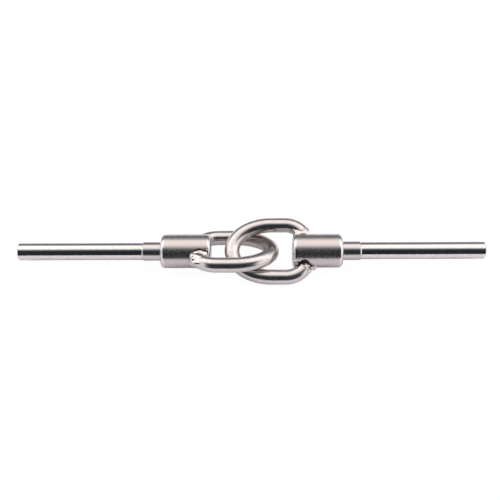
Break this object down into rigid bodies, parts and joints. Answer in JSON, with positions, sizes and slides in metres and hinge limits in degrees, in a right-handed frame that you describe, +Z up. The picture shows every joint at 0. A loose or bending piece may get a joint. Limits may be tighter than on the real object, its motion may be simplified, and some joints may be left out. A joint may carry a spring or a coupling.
{
  "type": "interlocking eye swage terminal pair",
  "caption": "Interlocking eye terminal pair for rigging wire: looped round-bar eyes welded to swivel barrels, each carrying a long swage shank.",
  "frame": {"origin": "on the resting surface under the middle of the pair, halfway between the two barrels", "axes": "+X along the two studs from the left half to the right half, +Z up from the resting surface"},
  "size_m": [0.2206, 0.0318, 0.016],
  "materials": {
    "polished_steel": "polished stainless steel, fine turning marks",
    "polished_bar": "polished stainless steel bar, slightly wavy",
    "satin_steel": "satin tumbled stainless steel",
    "weld_metal": "bright lumpy weld bead with light heat tint",
    "acetal": "natural white acetal"
  },
  "bodies": {
    "left_eye": {"swivel_barrel_left": "satin_steel", "front_plug_left": "satin_steel", "bow_left": "polished_bar", "weld_low_left": "weld_metal", "weld_high_left": "weld_metal"},
    "left_stud": {"swage_stud_left": "polished_steel", "thrust_washer_left": "acetal"},
    "right_eye": {"swivel_barrel_right": "satin_steel", "front_plug_right": "satin_steel", "bow_right": "polished_bar", "weld_low_right": "weld_metal", "weld_high_right": "weld_metal"},
    "right_stud": {"swage_stud_right": "polished_steel", "thrust_washer_right": "acetal"}
  },
  "joints": [
    {"name": "left_swivel", "type": "hinge", "parent": "left_eye", "child": "left_stud", "pos_m": [-0.04285, 0, 0.008], "axis": [1, 0, 0], "continuous": true},
    {"name": "interlock_swing", "type": "hinge", "parent": "left_eye", "child": "right_eye", "pos_m": [0.006, 0, 0.01], "axis": [0.1736, -0.4924, 0.8529], "range_deg": [0, 150]},
    {"name": "right_swivel", "type": "hinge", "parent": "right_eye", "child": "right_stud", "pos_m": [0.04285, 0, 0.008], "axis": [1, 0, 0], "continuous": true}
  ]
}
